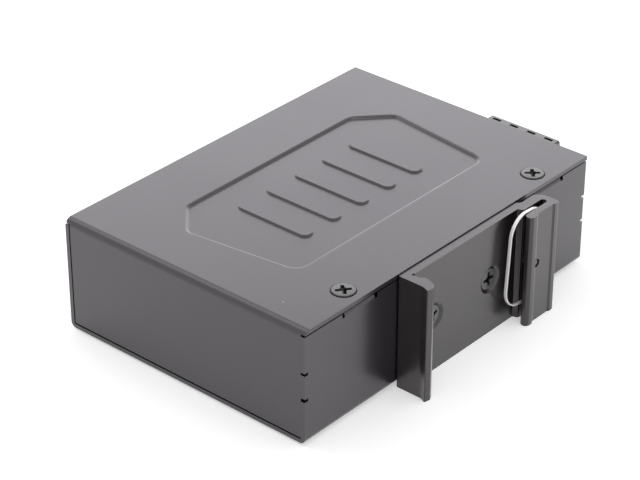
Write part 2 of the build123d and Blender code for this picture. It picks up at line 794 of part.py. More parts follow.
for place, x in enumerate(socket_x, start=1):
    block_places[f"magnetics_{place}"] = (
        (x - board_low_x, magnetics_y),
        (magnetics_length, magnetics_width, magnetics_height),
    )
for name, (place, size) in block_places.items():
    with BuildPart() as block:
        with BuildSketch(Plane.XY.offset(board_top_z)):
            with Locations((board_low_x + place[0], board_low_y + place[1])):
                Rectangle(size[0], size[1])
        extrude(amount=size[2])
        chamfer(block.faces().sort_by(Axis.Z)[-1].edges(), length=size[2] / 10)
    block.part.label = name
    export_step(block.part, f"parts/{name}.step")

for name, place in capacitor_places.items():
    with BuildPart() as capacitor:
        with BuildSketch(Plane.XY.offset(board_top_z)):
            with Locations((board_low_x + place[0], board_low_y + place[1])):
                Circle(capacitor_diameter / 2)
        extrude(amount=capacitor_height)
        fillet(capacitor.edges().group_by(Axis.Z)[-1], radius=capacitor_diameter / 12)
    capacitor.part.label = name
    export_step(capacitor.part, f"parts/{name}.step")

# Terminal header, a trough on the board that is open towards the end plate
with BuildPart() as terminal_header:
    with BuildSketch(Plane.YZ.offset(header_face_x)):
        with Locations((terminal_y, board_top_z)):
            Rectangle(
                header_width,
                nose_height + 2 * (header_fit + header_wall),
                align=(Align.CENTER, Align.MIN),
            )
    extrude(amount=header_back_x - header_face_x)
    with BuildSketch(Plane.YZ.offset(header_face_x)):
        with Locations((terminal_y, nose_mid_z)):
            Rectangle(nose_width + 2 * header_fit, nose_height + 2 * header_fit)
    extrude(amount=header_back_x + header_back - header_face_x, mode=Mode.SUBTRACT)
    with BuildSketch(Plane.YZ.offset(header_back_x)):
        with Locations(*[(y, nose_mid_z) for y in pole_y]):
            Rectangle(pin_square + 2 * pin_hole_gap, pin_square + 2 * pin_hole_gap)
    extrude(amount=header_back, mode=Mode.SUBTRACT)
terminal_header.part.label = "terminal_header"
export_step(terminal_header.part, "parts/terminal_header.step")

with BuildPart() as header_pins:
    for y in pole_y:
        with BuildSketch(Plane.XZ.offset(-y)):
            with Locations((pin_leg_x - pin_square / 2, nose_mid_z)):
                Rectangle(
                    header_face_x - pin_leg_x - 2 * pin_square,
                    pin_square,
                    align=(Align.MIN, Align.CENTER),
                )
            with Locations((pin_leg_x, nose_mid_z)):
                Rectangle(
                    pin_square,
                    nose_mid_z - board_under_z + pin_tail,
                    align=(Align.CENTER, Align.MAX),
                )
        extrude(amount=pin_square / 2, both=True)
header_pins.part.label = "header_pins"
export_step(header_pins.part, "parts/header_pins.step")

# Terminal plug: wires enter its outer face, screws clamp them from above
plug_base_x = header_face_x + header_fit
plug_screw_x = plug_end_x - plug_screw_from_end
entry_low_z = plug_low_z + wire_entry_floor
entry_high_z = entry_low_z + wire_entry_height
plug_shank = plug_screw_head - 1.2
with BuildPart() as terminal_plug:
    with BuildSketch(Plane.YZ.offset(plug_base_x)):
        with Locations((terminal_y, (plug_low_z + plug_high_z) / 2)):
            Rectangle(terminal_width, plug_high_z - plug_low_z)
    extrude(amount=plug_end_x - plug_base_x)
    chamfer(terminal_plug.edges().filter_by(Axis.X), length=0.4)
    with BuildSketch(Plane.YZ.offset(plug_base_x)):
        with Locations((terminal_y, nose_mid_z)):
            Rectangle(nose_width, nose_height)
    extrude(amount=nose_tip_x - plug_base_x)
    with BuildSketch(Plane.YZ.offset(nose_tip_x)):
        with Locations(*[(y, nose_mid_z) for y in pole_y]):
            Rectangle(pin_square + 2 * pin_hole_gap, pin_square + 2 * pin_hole_gap)
    extrude(amount=nose_length, mode=Mode.SUBTRACT)
    with BuildSketch(Plane.YZ.offset(plug_end_x)):
        with Locations(*[(y, (entry_low_z + entry_high_z) / 2) for y in pole_y]):
            Rectangle(wire_entry_width, wire_entry_height)
    extrude(amount=-wire_entry_depth, mode=Mode.SUBTRACT)
    with BuildSketch(Plane.XY.offset(plug_high_z)):
        with Locations(*[(plug_screw_x, y) for y in pole_y]):
            Circle(plug_screw_head / 2 + hole_clearance / 2)
    extrude(amount=-plug_screw_sunk - plug_screw_height, mode=Mode.SUBTRACT)
    with BuildSketch(Plane.XY.offset(plug_high_z)):
        with Locations(*[(plug_screw_x, y) for y in pole_y]):
            Circle(plug_shank / 2 + thread_gap)
    extrude(amount=entry_high_z - plug_high_z, mode=Mode.SUBTRACT)
    with BuildSketch(Plane.XY.offset(plug_high_z)):
        with Locations(*[(plug_end_x - test_slot_from_end, y) for y in pole_y]):
            Rectangle(test_slot_width, test_slot_length)
    extrude(amount=-test_slot_depth, mode=Mode.SUBTRACT)
terminal_plug.part.label = "terminal_plug"
export_step(terminal_plug.part, "parts/terminal_plug.step")

clamp_length = plug_shank + 6 * clamp_wall
clamp_width = wire_entry_width - 2 * clamp_gap
clamp_height = wire_entry_height - 2 * clamp_gap
with BuildPart() as plug_clamps:
    for y in pole_y:
        with BuildSketch(Plane.YZ.offset(plug_screw_x - clamp_length / 2)):
            with Locations((y, (entry_low_z + entry_high_z) / 2)):
                Rectangle(clamp_width, clamp_height)
                Rectangle(
                    clamp_width - 2 * clamp_wall,
                    clamp_height - 2 * clamp_wall,
                    mode=Mode.SUBTRACT,
                )
        extrude(amount=clamp_length)
    with BuildSketch(Plane.XY.offset(entry_high_z)):
        with Locations(*[(plug_screw_x, y) for y in pole_y]):
            Circle(plug_shank / 2 + thread_gap)
    extrude(amount=-clamp_gap - clamp_wall, mode=Mode.SUBTRACT)
plug_clamps.part.label = "plug_clamps"
export_step(plug_clamps.part, "parts/plug_clamps.step")

with BuildPart() as plug_screws:
    with BuildSketch(Plane.XY.offset(plug_high_z - plug_screw_sunk)):
        with Locations(*[(plug_screw_x, y) for y in pole_y]):
            Circle(plug_screw_head / 2)
    extrude(amount=-plug_screw_height)
    with BuildSketch(Plane.XY.offset(plug_high_z - plug_screw_sunk)):
        with Locations(*[(plug_screw_x, y) for y in pole_y]):
            Circle(plug_shank / 2)
    extrude(amount=entry_high_z - wire_entry_height / 3 - plug_high_z + plug_screw_sunk)
    with BuildSketch(Plane.XY.offset(plug_high_z - plug_screw_sunk)):
        with Locations(*[(plug_screw_x, y) for y in pole_y]):
            Rectangle(plug_screw_head, plug_screw_slot)
    extrude(amount=-plug_screw_height / 3, mode=Mode.SUBTRACT)
plug_screws.part.label = "plug_screws"
export_step(plug_screws.part, "parts/plug_screws.step")
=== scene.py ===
# %% [markdown]
# # A rail-mounted network switch, dressed for the camera
# The switch is a folded steel box with a pressed cover, a black aluminium clip with a
# bright spring ring, five network sockets and a pluggable supply terminal. The packed
# model gives every piece its place and size. This script gives it surfaces: softened
# sheet edges, satin paint, drawn aluminium, spring steel, moulded plastic.

# %% Load the frame
from math import pi, radians

import bmesh
import bpy
import numpy as np
from mathutils import Matrix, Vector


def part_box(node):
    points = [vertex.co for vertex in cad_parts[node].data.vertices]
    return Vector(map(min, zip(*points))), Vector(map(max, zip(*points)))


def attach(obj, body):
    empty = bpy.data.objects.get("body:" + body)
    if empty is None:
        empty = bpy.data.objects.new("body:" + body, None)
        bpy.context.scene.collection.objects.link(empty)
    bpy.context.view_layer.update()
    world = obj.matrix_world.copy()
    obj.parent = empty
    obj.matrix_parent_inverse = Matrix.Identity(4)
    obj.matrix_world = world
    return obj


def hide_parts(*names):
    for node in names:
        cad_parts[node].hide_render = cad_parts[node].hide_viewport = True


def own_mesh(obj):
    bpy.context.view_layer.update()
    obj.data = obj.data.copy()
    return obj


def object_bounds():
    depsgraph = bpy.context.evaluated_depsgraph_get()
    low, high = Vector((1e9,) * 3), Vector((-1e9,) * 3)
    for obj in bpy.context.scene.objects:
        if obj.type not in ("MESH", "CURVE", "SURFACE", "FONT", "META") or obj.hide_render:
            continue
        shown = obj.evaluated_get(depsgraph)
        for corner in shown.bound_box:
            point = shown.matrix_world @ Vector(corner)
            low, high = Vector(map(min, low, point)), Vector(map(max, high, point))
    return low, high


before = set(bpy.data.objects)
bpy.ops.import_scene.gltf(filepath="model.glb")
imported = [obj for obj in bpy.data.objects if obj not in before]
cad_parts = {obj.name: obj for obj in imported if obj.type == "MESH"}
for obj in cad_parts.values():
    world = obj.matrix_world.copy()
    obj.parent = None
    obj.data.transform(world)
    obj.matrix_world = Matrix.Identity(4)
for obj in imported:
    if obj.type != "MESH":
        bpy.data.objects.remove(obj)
cad_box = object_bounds()
mm = 0.001
print("nodes in the frame:", len(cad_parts))

# %% [markdown]
# ## Camera
# The box stands at an angle of about 49 degrees to the camera, which looks down on it by
# about 31 degrees through a long lens, so that its edges stay nearly parallel. A camera
# looks along its own -Z axis, so its matrix has the directions right, up and back as its
# first three columns, and its place as the fourth.

# %% Camera
def new_object(name, data):
    """An object with this data, put into the scene."""
    made = bpy.data.objects.new(name, data)
    bpy.context.scene.collection.objects.link(made)
    return made


def stand(thing, place, back, roll=0.0):
    """Sets a camera or a lamp at a place, facing the opposite of back.

    Right is the upright axis crossed with back, and up is back crossed with right. Roll
    turns right and up about back.
    """
    right = np.cross([0.0, 0.0, 1.0], back)
    right /= np.linalg.norm(right)
    up = np.cross(back, right)
    rolled_right = np.cos(roll) * right + np.sin(roll) * up
    rolled_up = np.cos(roll) * up - np.sin(roll) * right
    matrix = np.eye(4)
    matrix[:3, :3] = np.array([rolled_right, rolled_up, back]).T
    matrix[:3, 3] = place
    thing.matrix_world = Matrix(matrix.tolist())


azimuth, elevation, roll = radians(-49.128), radians(30.772), radians(0.072)
camera_data = bpy.data.cameras.new("camera")
camera_data.sensor_width = 36.0
camera_data.lens = 128.63
camera_data.clip_start = 0.01
camera = new_object("camera", camera_data)
bpy.context.scene.camera = camera
camera_back = np.array([
    np.sin(azimuth) * np.cos(elevation),
    -np.cos(azimuth) * np.cos(elevation),
    np.sin(elevation),
])
stand(camera, (-0.3382, -0.2518, 0.2650), camera_back, roll)
print("camera stands at", tuple(round(v, 3) for v in camera.location))

# %% [markdown]
# ## Tools for shaders
# The room, the floor and every finish are trees of shader nodes. These helpers make the
# nodes that return often, and they take a link or a plain value alike.

# %% Helpers for node trees
white = (1.0, 1.0, 1.0, 1.0)


def feed(tree, value, socket):
    """Gives an input its value: a link from another socket, or a number or colour."""
    if isinstance(value, bpy.types.NodeSocket):
        tree.links.new(value, socket)
    else:
        socket.default_value = value


def feed_named(tree, node, inputs):
    """Feeds a node's inputs by name. An underscore stands for a space."""
    for name, value in inputs.items():
        feed(tree, value, node.inputs[name.replace("_", " ")])
    return node


def put(tree, kind, **inputs):
    """A new node of a kind, with its inputs by name."""
    return feed_named(tree, tree.nodes.new("ShaderNode" + kind), inputs)


def put_group(tree, group, **inputs):
    """A new node that holds a node group, with the group's inputs by name."""
    made = tree.nodes.new("ShaderNodeGroup")
    made.node_tree = group
    return feed_named(tree, made, inputs)


def in_order(tree, node, values):
    """Feeds a node's first inputs in their order."""
    for value, socket in zip(values, node.inputs):
        feed(tree, value, socket)
    return node


def calculated(tree, operation, first, second):
    """One sum, product or comparison of two sockets or numbers."""
    node = in_order(tree, put(tree, "Math"), (first, second))
    node.operation = operation
    return node.outputs[0]


def ranged(tree, value, low, high, to_low=0.0, to_high=1.0):
    """A value moved from one range to another and held at its ends."""
    node = put(tree, "MapRange", Value=value, From_Min=low, From_Max=high, To_Min=to_low, To_Max=to_high)
    return node.outputs["Result"]


def colour_mix(tree, factor, low, high):
    """A mix of two colours. Each of the three is a socket or a plain value.

    The node has inputs for numbers, vectors and colours: 0 is the factor, 6 and 7 are
    the two colours, and output 2 is their mix.
    """
    mix = put(tree, "Mix")
    mix.data_type = "RGBA"
    for index, value in ((0, factor), (6, low), (7, high)):
        feed(tree, value, mix.inputs[index])
    return mix.outputs[2]


# %% [markdown]
# ## Light and floor
# The paint is dark and satin, so most of what the eye sees on it is the white room in its
# reflection. A plain white surround gives that. A broad lamp behind the box brightens the
# large face, which mirrors that side, and two weaker lamps stand higher up. The floor is
# pale, and it keeps the shadow.

# %% Surround
world = bpy.data.worlds.new("white_room")
bpy.context.scene.world = world
world.use_nodes = True
room = world.node_tree
room.nodes.clear()
ray = put(room, "LightPath").outputs
seen_or_mirrored = calculated(room, "MAXIMUM", ray["Is Camera Ray"], ray["Is Glossy Ray"])
looked_at = calculated(room, "MAXIMUM", seen_or_mirrored, ray["Is Transmission Ray"])
room_light = put(room, "Background", Color=white, Strength=0.8)
room_seen = put(room, "Background", Color=white, Strength=1.0)
room_mix = in_order(room, put(room, "MixShader"), (looked_at, room_light.outputs[0], room_seen.outputs[0]))
put(room, "OutputWorld", Surface=room_mix.outputs[0])
bpy.context.scene.view_settings.view_transform = "Standard"
print("nodes of the room:", len(room.nodes))

# %% Lamps
middle = (np.array(cad_box[0]) + np.array(cad_box[1])) / 2
lamp_distance = 0.9


def soft_lamp(name, direction, width, height, watts, colour=(1.0, 1.0, 1.0)):
    """A flat lamp that looks at the middle of the box from a direction."""
    data = bpy.data.lights.new(name, "AREA")
    data.shape = "RECTANGLE"
    data.size = width
    data.size_y = height
    data.energy = watts
    data.color = colour
    back = np.array(direction, float) / np.linalg.norm(direction)
    stand(new_object(name, data), middle + back * lamp_distance, back)


soft_lamp("lamp_behind", (0.72, 0.62, 0.32), width=1.5, height=0.56, watts=2.25, colour=(1.0, 0.985, 1.05))
soft_lamp("lamp_left", (-0.12, 0.56, 0.82), width=0.5, height=0.4, watts=0.56)
soft_lamp("lamp_above", (0.1, -0.3, 1.0), width=0.4, height=0.4, watts=0.6)
print("lamps:", len(bpy.data.lights))

# %% Floor
floor_z = cad_box[0][2]
floor_reach = 3.0
floor_corners = [(x * floor_reach, y * floor_reach, floor_z) for x, y in ((-1, -1), (1, -1), (1, 1), (-1, 1))]
floor_mesh = bpy.data.meshes.new("floor")
floor_mesh.from_pydata(floor_corners, [], [(0, 1, 2, 3)])
floor = new_object("floor", floor_mesh)

# the floor shines a little of its own light: more to the camera than into mirrors
lift_seen = 0.42
lift_mirrored = 0.3
floor_paint = bpy.data.materials.new("pale_floor")
floor_paint.use_nodes = True
tree = floor_paint.node_tree
tree.nodes.clear()
ray = put(tree, "LightPath").outputs
lift = calculated(
    tree, "MAXIMUM",
    calculated(tree, "MULTIPLY", ray["Is Camera Ray"], lift_seen),
    calculated(tree, "MULTIPLY", ray["Is Glossy Ray"], lift_mirrored),
)
floor_matte = put(tree, "BsdfDiffuse", Color=(0.84, 0.84, 0.84, 1.0))
floor_lift = put(tree, "Emission", Color=white, Strength=lift)
floor_sum = in_order(tree, put(tree, "AddShader"), (floor_matte.outputs[0], floor_lift.outputs[0]))
put(tree, "OutputMaterial", Surface=floor_sum.outputs[0])
floor_mesh.materials.append(floor_paint)
print("floor at", round(floor_z / mm, 2), "mm")

# %% [markdown]
# ## Shared effects
# Two effects return in many finishes: a fine grain, as satin paint or moulded plastic has,
# and lines along the piece, as drawn or extruded metal has. A third puts a few specks of
# dust on the paint. Each is a node group with named inputs.

# %% Start and end of a group
surface_inputs = {
    "Dark": (0.02, 0.02, 0.02, 1.0),
    "Light": (0.03, 0.03, 0.03, 1.0),
    "Per metre": 1500.0,
    "Roughness low": 0.3,
    "Roughness high": 0.4,
}
surface_outputs = {"Color": "Color", "Roughness": "Float", "Height": "Float"}


def new_group(name, inputs, outputs):
    """A new node group: the group, the sockets of its start, and its end.

    Inputs are name: start value. Outputs are name: kind.
    """
    group = bpy.data.node_groups.new(name, "ShaderNodeTree")
    group.interface.new_socket("Vector", in_out="INPUT", socket_type="NodeSocketVector")
    for key, value in inputs.items():
        kind = "NodeSocketColor" if isinstance(value, tuple) else "NodeSocketFloat"
        socket = group.interface.new_socket(key, in_out="INPUT", socket_type=kind)
        socket.default_value = value
    for key, kind in outputs.items():
        group.interface.new_socket(key, in_out="OUTPUT", socket_type="NodeSocket" + kind)
    start = group.nodes.new("NodeGroupInput")
    end = group.nodes.new("NodeGroupOutput")
    return group, start.outputs, end


def end_surface(group, start, end, value, colour_reach, height):
    """Ends a surface group. Colour and roughness follow a value, and height is the relief.

    The colour goes from dark to light while the value runs over its own reach, and the
    roughness from low to high while it runs from 0.3 to 0.7.
    """
    feed_named(group, end, {
        "Color": colour_mix(group, ranged(group, value, *colour_reach), start["Dark"], start["Light"]),
        "Roughness": ranged(group, value, 0.3, 0.7, start["Roughness low"], start["Roughness high"]),
        "Height": height,
    })


# %% Grain group
grain, start, end = new_group("fine_grain", surface_inputs, surface_outputs)
fine_share = 0.35
fine = put(grain, "TexNoise", Vector=start["Vector"], Scale=start["Per metre"], Detail=4.0, Roughness=0.6)
broad = put(grain, "TexNoise", Vector=start["Vector"], Scale=45.0, Detail=3.0, Roughness=0.5)
mottle = calculated(
    grain, "ADD",
    calculated(grain, "MULTIPLY", fine.outputs["Fac"], fine_share),
    calculated(grain, "MULTIPLY", broad.outputs["Fac"], 1 - fine_share),
)
end_surface(grain, start, end, mottle, (0.35, 0.65), fine.outputs["Fac"])

# %% Drawn lines group
drawn, start, end = new_group("drawn_lines", surface_inputs, surface_outputs)
line_stretch = (1.0, 1.0, 0.015)
along = put(drawn, "Mapping", Vector=start["Vector"], Scale=line_stretch)
lines = put(
    drawn, "TexNoise", Vector=along.outputs["Vector"], Scale=start["Per metre"], Detail=3.0, Roughness=0.65
)
end_surface(drawn, start, end, lines.outputs["Fac"], (0.3, 0.7), lines.outputs["Fac"])

# %% Dust group
dust, start, end = new_group(
    "dust_specks",
    {"Color": (0.1, 0.1, 0.1, 1.0), "Dust": (0.5, 0.5, 0.5, 1.0), "Cells per metre": 160.0, "Amount": 0.06},
    {"Color": "Color"},
)
speck_core, speck_edge = 0.015, 0.035
cells = put(dust, "TexVoronoi", Vector=start["Vector"], Scale=start["Cells per metre"], Randomness=1.0)
chance = put(dust, "SeparateColor", Color=cells.outputs["Color"])
chosen = calculated(dust, "LESS_THAN", chance.outputs["Red"], start["Amount"])
near = ranged(dust, cells.outputs["Distance"], speck_core, speck_edge, 1.0, 0.0)
speck = calculated(dust, "MULTIPLY", chosen, near)
feed(dust, colour_mix(dust, speck, start["Color"], start["Dust"]), end.inputs["Color"])
print("node groups:", [group.name for group in bpy.data.node_groups])

# %% [markdown]
# ## Finishes
# Each finish is one Principled shader. The groups vary its colour, roughness and bump
# over the surface, and what is the same everywhere is set on the shader itself.

# %% A finish from a group
def seen_colour(red, green, blue):
    """A colour as a screen shows it, 0 to 255, made linear.

    A dark value is divided by 12.92. Any other gets 0.055 added, is divided by 1.055 and
    raised to the power 2.4.
    """
    seen = np.array([red, green, blue]) / 255
    linear = np.where(seen <= 0.04045, seen / 12.92, ((seen + 0.055) / 1.055) ** 2.4)
    return tuple(linear.tolist()) + (1.0,)


def shade(level, warmth=0.0):
    """A grey as a screen shows it, 0 to 255, made linear. Warmth lifts red over blue."""
    return seen_colour(level + warmth, level, level - warmth)


finishes = {}


def finish(name, group, dark, light, per_metre, rough, bump, depth, dusty=False, **constants):
    """A material whose colour, roughness and bump come from a group on Object coordinates.

    Rough is the least and the greatest roughness, bump the relief's strength, and depth
    its height in mm. The constants go straight to the shader.
    """
    material = bpy.data.materials.new(name)
    material.use_nodes = True
    tree = material.node_tree
    place = put(tree, "TexCoord").outputs["Object"]
    effect = put_group(
        tree, group, Vector=place, Dark=dark, Light=light, Per_metre=per_metre,
        Roughness_low=rough[0], Roughness_high=rough[1],
    ).outputs
    colour = effect["Color"]
    if dusty:
        colour = put_group(tree, dust, Vector=place, Color=colour).outputs["Color"]
    relief = put(tree, "Bump", Height=effect["Height"], Strength=bump, Distance=depth * mm)
    feed_named(tree, tree.nodes["Principled BSDF"], {
        "Base Color": colour,
        "Roughness": effect["Roughness"],
        "Normal": relief.outputs["Normal"],
        **constants,
    })
    finishes[name] = material


def paint_shade_in_hollows(material, dark, coat_left):
    """Paints shade into a finish: dark, with little coat, where a mesh marks its points as shaded."""
    tree = material.node_tree
    shader = tree.nodes["Principled BSDF"].inputs
    # painted shade: a mesh attribute mixes the colour towards dark and lowers the coat
    mark = put(tree, "Attribute")
    mark.attribute_name = "painted_shade"
    painted_shade = mark.outputs["Fac"]
    plain = shader["Base Color"].links[0].from_socket
    feed(tree, colour_mix(tree, painted_shade, plain, dark), shader["Base Color"])
    feed(tree, ranged(tree, painted_shade, 0.0, 1.0, 1.0, coat_left), shader["Coat Weight"])


# %% Paint and metals
finish(
    "satin_paint", grain, seen_colour(16, 13, 17), seen_colour(22, 18, 24), per_metre=1400.0,
    rough=(0.3, 0.4), bump=0.25, depth=0.03, dusty=True,
    Coat_Weight=1.0, Coat_Roughness=0.22, Specular_Tint=(1.0, 0.88, 1.0, 1.0),
)
finish(
    "black_anodised", drawn, seen_colour(17, 15, 15), seen_colour(26, 23, 23), per_metre=5000.0,
    rough=(0.28, 0.38), bump=0.2, depth=0.02,
    Coat_Weight=1.0, Coat_Roughness=0.22, Specular_Tint=(1.0, 0.88, 0.94, 1.0),
)
# painted reflection: the near-white colour stands for the bright room that the steel strip mirrors
finish(
    "spring_steel", drawn, shade(249, 2), shade(253, 1), per_metre=3000.0,
    rough=(0.3, 0.38), bump=0.03, depth=0.01, Metallic=0.1,
)
finish(
    "screw_black", grain, shade(58), shade(70), per_metre=2500.0,
    rough=(0.3, 0.4), bump=0.2, depth=0.02, Coat_Weight=1.0, Coat_Roughness=0.3,
)
# painted shade: near-black with little coat where a mesh marks the recess, the rim gap or the pin's chamfers
paint_shade_in_hollows(finishes["screw_black"], shade(9), coat_left=0.1)
finish(
    "plated_steel", grain, shade(170, 2), shade(190, 4), per_metre=2000.0,
    rough=(0.25, 0.38), bump=0.1, depth=0.01, Metallic=1.0,
)
finish(
    "socket_shield", drawn, shade(182, 2), shade(200, 3), per_metre=3500.0,
    rough=(0.22, 0.32), bump=0.12, depth=0.01, Metallic=1.0,
)
finish(
    "gold_contact", grain, seen_colour(214, 170, 88), seen_colour(230, 188, 104), per_metre=3000.0,
    rough=(0.18, 0.26), bump=0.05, depth=0.01, Metallic=1.0,
)
finish(
    "tinned_pin", grain, shade(178, 2), shade(196, 2), per_metre=3000.0,
    rough=(0.28, 0.38), bump=0.1, depth=0.01, Metallic=1.0,
)
finish(
    "can_metal", grain, shade(176), shade(196), per_metre=2000.0,
    rough=(0.25, 0.35), bump=0.1, depth=0.01, Metallic=1.0,
)
print("finishes of paint and metal:", len(finishes))

# %% Plastics and the board
finish(
    "socket_plastic", grain, shade(26), shade(34), per_metre=1800.0,
    rough=(0.42, 0.55), bump=0.3, depth=0.03,
)
finish(
    "terminal_plastic", grain, shade(34), shade(42), per_metre=1600.0,
    rough=(0.35, 0.45), bump=0.25, depth=0.03, Coat_Weight=1.0, Coat_Roughness=0.25, Coat_IOR=1.6,
)
finish(
    "component_plastic", grain, shade(30), shade(38), per_metre=2200.0,
    rough=(0.5, 0.6), bump=0.3, depth=0.02,
)
finish(
    "clear_plastic", grain, shade(225), shade(238), per_metre=900.0,
    rough=(0.08, 0.14), bump=0.05, depth=0.01, Transmission_Weight=0.85, IOR=1.49,
)
finish(
    "lamp_cap", grain, shade(205, 8), shade(220, 8), per_metre=900.0,
    rough=(0.25, 0.3), bump=0.05, depth=0.01,
)
finish(
    "board_green", grain, seen_colour(24, 74, 48), seen_colour(32, 92, 60), per_metre=700.0,
    rough=(0.3, 0.4), bump=0.2, depth=0.03, Coat_Weight=0.5, Coat_Roughness=0.2,
)
print("finishes:", len(finishes))

# %% [markdown]
# ## From solids to made things
# A CAD solid has edges sharper than any tool leaves. On real sheet metal the punch leaves
# a small round, and paint fills it a little more. A copy of the solid gets its loose
# triangles joined, then a narrow bevel on each real edge, which catches a thin line of
# light as the painted edge does.

# %% Dressing helpers
def dress(node, material):
    """Gives a carried-over node its finish."""
    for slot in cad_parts[node].material_slots:
        slot.material = finishes[material]


def box_of(node):
    """A node's lowest and highest corner."""
    return np.array(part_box(node))


def reworked(mesh, step):
    """Runs a step on a mesh's loose faces, edges and points, and keeps the result."""
    work = bmesh.new()
    work.from_mesh(mesh)
    step(work)
    work.to_mesh(mesh)
    work.free()


def weld(work):
    """Joins points that lie in one place."""
    bmesh.ops.remove_doubles(work, verts=work.verts, dist=0.0005 * mm)


def stand_in(mesh, name, node, body, material):
    """An object for a new mesh that rides on a body and stands for a node."""
    piece = new_object(name, mesh)
    mesh.materials.clear()
    mesh.materials.append(finishes[material])
    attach(piece, body)
    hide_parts(node)
    return piece


def border_level_faces(work, top):
    """Gives the large level faces that lie below the top a narrow border of their own."""
    least_area = 100 * mm ** 2
    border = 0.25 * mm
    level = [face for face in work.faces
             if face.normal.z > 0.9999 and face.calc_area() > least_area
             and max(vert.co.z for vert in face.verts) < top - 0.05 * mm]
    bmesh.ops.inset_region(work, faces=level, thickness=border, use_boundary=True, use_even_offset=True)
    print("level faces with a border of their own:", len(level))


def softened(node, name, material, radius, steps=2, least_turn=28.0, shape=None):
    """A copy of a node with joined triangles and a round of this width on its edges.

    Shape is a step that moves points of the loose triangles before they are joined. Large
    level faces below the top then get a narrow border of their own, so that the shading
    of a curved edge ends in the border and the rest stays level.
    """
    work = bmesh.new()
    work.from_mesh(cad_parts[node].data)
    weld(work)
    if shape:
        shape(work)
    bmesh.ops.dissolve_limit(
        work, angle_limit=radians(0.2), verts=work.verts, edges=work.edges, delimit={"SEAM"}
    )
    if shape:
        border_level_faces(work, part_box(node)[1][2])
    mesh = bpy.data.meshes.new(name)
    work.to_mesh(mesh)
    work.free()
    mesh.polygons.foreach_set("use_smooth", np.ones(len(mesh.polygons), bool))
    mesh.set_sharp_from_angle(angle=radians(least_turn))
    piece = stand_in(mesh, name, node, "housing", material)
    bevel = piece.modifiers.new("edge_round", "BEVEL")
    bevel.width = radius * mm
    bevel.segments = steps
    bevel.limit_method = "ANGLE"
    bevel.angle_limit = radians(least_turn)
    bevel.harden_normals = True
    weighted = piece.modifiers.new("even_shading", "WEIGHTED_NORMAL")
    weighted.keep_sharp = True
    print(name, "faces", len(mesh.polygons))


# %% [markdown]
# ## Box and cover
# The base is one folded sheet and the cover another. Both are painted after folding, so
# even the cut edges have the same satin coat.

# %% Box and cover
softened("base_shell", "folded_base", "satin_paint", 0.14)


def in_panel(points):
    """Whether points in mm lie in the pressed panel's part of the cover, clear of edge and screws."""
    low, high = box_of("cover") / mm
    edge_room, screw_room, panel_room = 8, 12, 0.7
    across = (points[:, 0] > low[0] + edge_room) & (points[:, 0] < high[0] - edge_room)
    along = (points[:, 1] > low[1] + screw_room) & (points[:, 1] < high[1] - edge_room)
    return across & along & (points[:, 2] > high[2] - panel_room)


def rim_sides(work):
    """The panel's outline: an outward direction and a distance in mm for each side's line.

    Its sides are the edges in the plate's upper face at which two faces turn by more than
    20 degrees. Edges on one line give one side.
    """
    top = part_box("cover")[1][2] / mm
    turned = [edge for edge in work.edges
              if len(edge.link_faces) == 2 and edge.calc_face_angle() > radians(20)]
    ends = np.array([[tuple(vert.co) for vert in edge.verts] for edge in turned]) / mm
    middles = ends.mean(axis=1)
    chosen = in_panel(middles) & (np.abs(ends[:, :, 2] - top) < 0.01).all(axis=1)
    ends, middles = ends[chosen][:, :, :2], middles[chosen][:, :2]
    along = ends[:, 1] - ends[:, 0]
    outward = np.stack([along[:, 1], -along[:, 0]], axis=-1)
    outward /= np.linalg.norm(outward, axis=1, keepdims=True)
    centre = (middles.min(axis=0) + middles.max(axis=0)) / 2
    outward *= np.sign(((middles - centre) * outward).sum(axis=1))[:, None]
    reach = (middles * outward).sum(axis=1)
    found = np.column_stack([outward, reach])
    first_of_each = np.unique(np.round(found, 1), axis=0, return_index=True)[1]
    return found[first_of_each]


def looks_up(face):
    """Whether a face looks up, as the plate does and the sloped wall of the panel."""
    return face.normal.z > 0.3


def cut_upright(work, place, direction):
    """Cuts the upper faces with an upright plane through a place."""
    faces = [face for face in work.faces if looks_up(face)]
    edges = {edge for face in faces for edge in face.edges}
    verts = {vert for face in faces for vert in face.verts}
    bmesh.ops.bisect_plane(
        work, geom=list(verts) + list(edges) + faces, dist=1e-7, plane_co=place, plane_no=direction
    )


